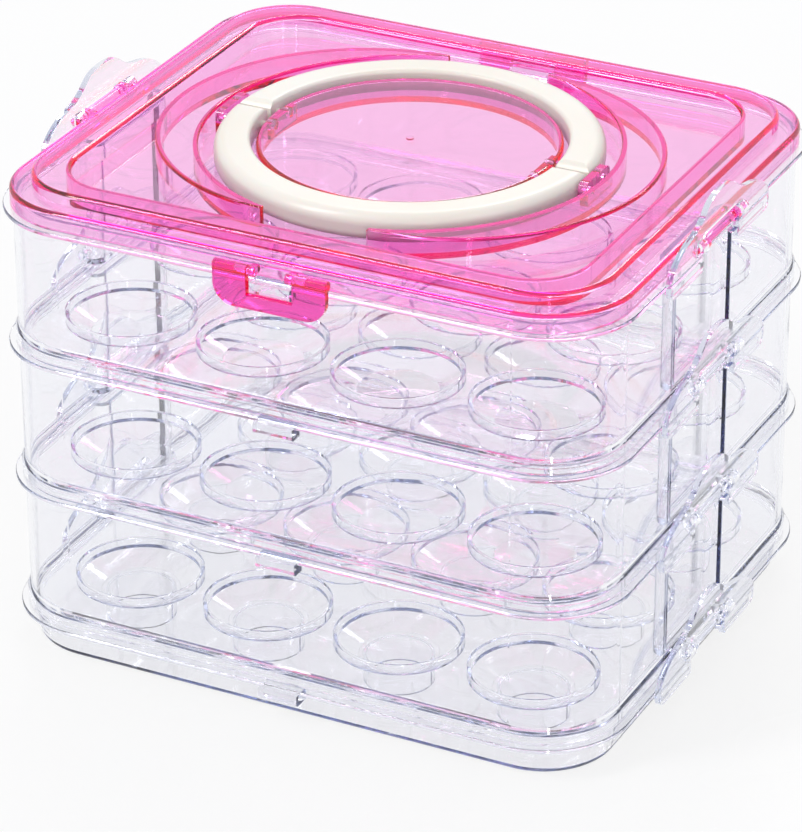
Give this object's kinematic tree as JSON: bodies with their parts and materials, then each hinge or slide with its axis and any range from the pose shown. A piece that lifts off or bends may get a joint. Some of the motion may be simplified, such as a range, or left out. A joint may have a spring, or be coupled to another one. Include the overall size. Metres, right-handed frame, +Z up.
{
  "type": "egg storage container",
  "caption": "Clear stacking egg keeper with cup trays, latched storeys and a tinted snap lid with a folding carry handle.",
  "frame": {"origin": "centre of the underside, in the plane the container stands on", "axes": "+Z up, -Y towards the front with its flap, +X to the right side with its row of latches"},
  "size_m": [0.2492, 0.214, 0.1923],
  "materials": {
    "clear_plastic": "gloss",
    "pink_plastic": "gloss",
    "ivory_plastic": "gloss"
  },
  "bodies": {
    "base": {"base_tray": "clear_plastic", "cup_tray_1": "clear_plastic"},
    "storey_1": {"frame_1": "clear_plastic", "cup_tray_2": "clear_plastic"},
    "storey_2": {"frame_2": "clear_plastic", "cup_tray_3": "clear_plastic"},
    "storey_3": {"frame_3": "clear_plastic"},
    "lid": {"lid": "pink_plastic"},
    "latch_1_left": {"latch_1_left": "clear_plastic"},
    "latch_1_right": {"latch_1_right": "clear_plastic"},
    "latch_2_left": {"latch_2_left": "clear_plastic"},
    "latch_2_right": {"latch_2_right": "clear_plastic"},
    "latch_3_left": {"latch_3_left": "clear_plastic"},
    "latch_3_right": {"latch_3_right": "clear_plastic"},
    "latch_4_left": {"latch_4_left": "clear_plastic"},
    "latch_4_right": {"latch_4_right": "clear_plastic"},
    "handle_front": {"handle_front": "ivory_plastic"},
    "flap_front": {"flap_front": "pink_plastic"},
    "handle_back": {"handle_back": "ivory_plastic"},
    "flap_back": {"flap_back": "pink_plastic"}
  },
  "joints": [
    {"name": "storey_1_lift", "type": "slide", "parent": "base", "child": "storey_1", "axis": [0, 0, 1], "range_m": [0, 0.11]},
    {"name": "storey_2_lift", "type": "slide", "parent": "storey_1", "child": "storey_2", "axis": [0, 0, 1], "range_m": [0, 0.11]},
    {"name": "storey_3_lift", "type": "slide", "parent": "storey_2", "child": "storey_3", "axis": [0, 0, 1], "range_m": [0, 0.11]},
    {"name": "lid_lift", "type": "slide", "parent": "storey_3", "child": "lid", "axis": [0, 0, 1], "range_m": [0, 0.11]},
    {"name": "latch_1_left_press", "type": "hinge", "parent": "storey_1", "child": "latch_1_left", "pos_m": [-0.1214, -0.007, 0.0178], "axis": [0, 1, 0], "range_deg": [0, 25]},
    {"name": "latch_1_right_press", "type": "hinge", "parent": "storey_1", "child": "latch_1_right", "pos_m": [0.1214, -0.007, 0.0178], "axis": [0, -1, 0], "range_deg": [0, 25]},
    {"name": "latch_2_left_press", "type": "hinge", "parent": "storey_2", "child": "latch_2_left", "pos_m": [-0.1214, -0.007, 0.0708], "axis": [0, 1, 0], "range_deg": [0, 25]},
    {"name": "latch_2_right_press", "type": "hinge", "parent": "storey_2", "child": "latch_2_right", "pos_m": [0.1214, -0.007, 0.0708], "axis": [0, -1, 0], "range_deg": [0, 25]},
    {"name": "latch_3_left_press", "type": "hinge", "parent": "storey_3", "child": "latch_3_left", "pos_m": [-0.1214, -0.007, 0.1238], "axis": [0, 1, 0], "range_deg": [0, 25]},
    {"name": "latch_3_right_press", "type": "hinge", "parent": "storey_3", "child": "latch_3_right", "pos_m": [0.1214, -0.007, 0.1238], "axis": [0, -1, 0], "range_deg": [0, 25]},
    {"name": "latch_4_left_press", "type": "hinge", "parent": "lid", "child": "latch_4_left", "pos_m": [-0.1214, -0.007, 0.1768], "axis": [0, 1, 0], "range_deg": [0, 25]},
    {"name": "latch_4_right_press", "type": "hinge", "parent": "lid", "child": "latch_4_right", "pos_m": [0.1214, -0.007, 0.1768], "axis": [0, -1, 0], "range_deg": [0, 25]},
    {"name": "handle_front_raise", "type": "hinge", "parent": "lid", "child": "handle_front", "pos_m": [0, -0.0059, 0.1801], "axis": [-1, 0, 0], "range_deg": [0, 90]},
    {"name": "flap_front_open", "type": "hinge", "parent": "lid", "child": "flap_front", "pos_m": [0, -0.105, 0.1756], "axis": [-1, 0, 0], "range_deg": [0, 110]},
    {"name": "handle_back_raise", "type": "hinge", "parent": "lid", "child": "handle_back", "pos_m": [0, 0.0059, 0.1801], "axis": [1, 0, 0], "range_deg": [0, 90]},
    {"name": "flap_back_open", "type": "hinge", "parent": "lid", "child": "flap_back", "pos_m": [0, 0.105, 0.1756], "axis": [1, 0, 0], "range_deg": [0, 110]}
  ]
}
